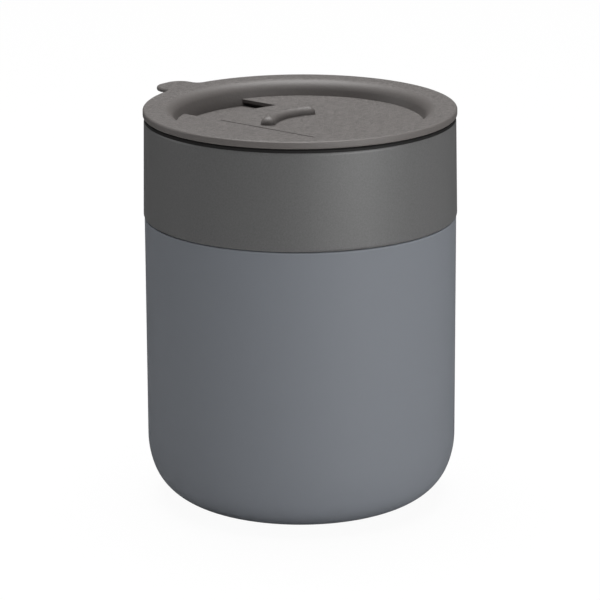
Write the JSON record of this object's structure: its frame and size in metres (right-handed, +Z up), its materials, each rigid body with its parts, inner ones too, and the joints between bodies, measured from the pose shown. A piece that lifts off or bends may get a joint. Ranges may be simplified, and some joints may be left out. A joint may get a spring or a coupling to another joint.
{
  "type": "soup mug",
  "caption": "Straight-sided ceramic soup mug in a silicone sleeve with a rounded base, closed by a press-in dished lid with a lift tab and a sliding sip cover.",
  "frame": {"origin": "middle of the base, on the table", "axes": "+Z up along the mug's axis, +Y towards the lid's lift tab, -Y towards the side to drink from"},
  "size_m": [0.095, 0.1025, 0.1213],
  "materials": {
    "ceramic": "satin",
    "sleeve_silicone": "matte",
    "lid_plastic": "fine moulded grain",
    "seal_silicone": "matte"
  },
  "bodies": {
    "cup": {"mug_body": "ceramic", "silicone_sleeve": "sleeve_silicone"},
    "lid": {"lid_cover": "lid_plastic", "lid_plug": "lid_plastic", "lid_gasket": "seal_silicone"},
    "sip_slider": {"slider": "lid_plastic", "slider_seal": "seal_silicone"}
  },
  "joints": [
    {"name": "lid_lift", "type": "slide", "parent": "cup", "child": "lid", "axis": [0, 0, 1], "range_m": [0, 0.06]},
    {"name": "sip_slide", "type": "slide", "parent": "lid", "child": "sip_slider", "axis": [0, 1, 0], "range_m": [0, 0.0135]}
  ]
}
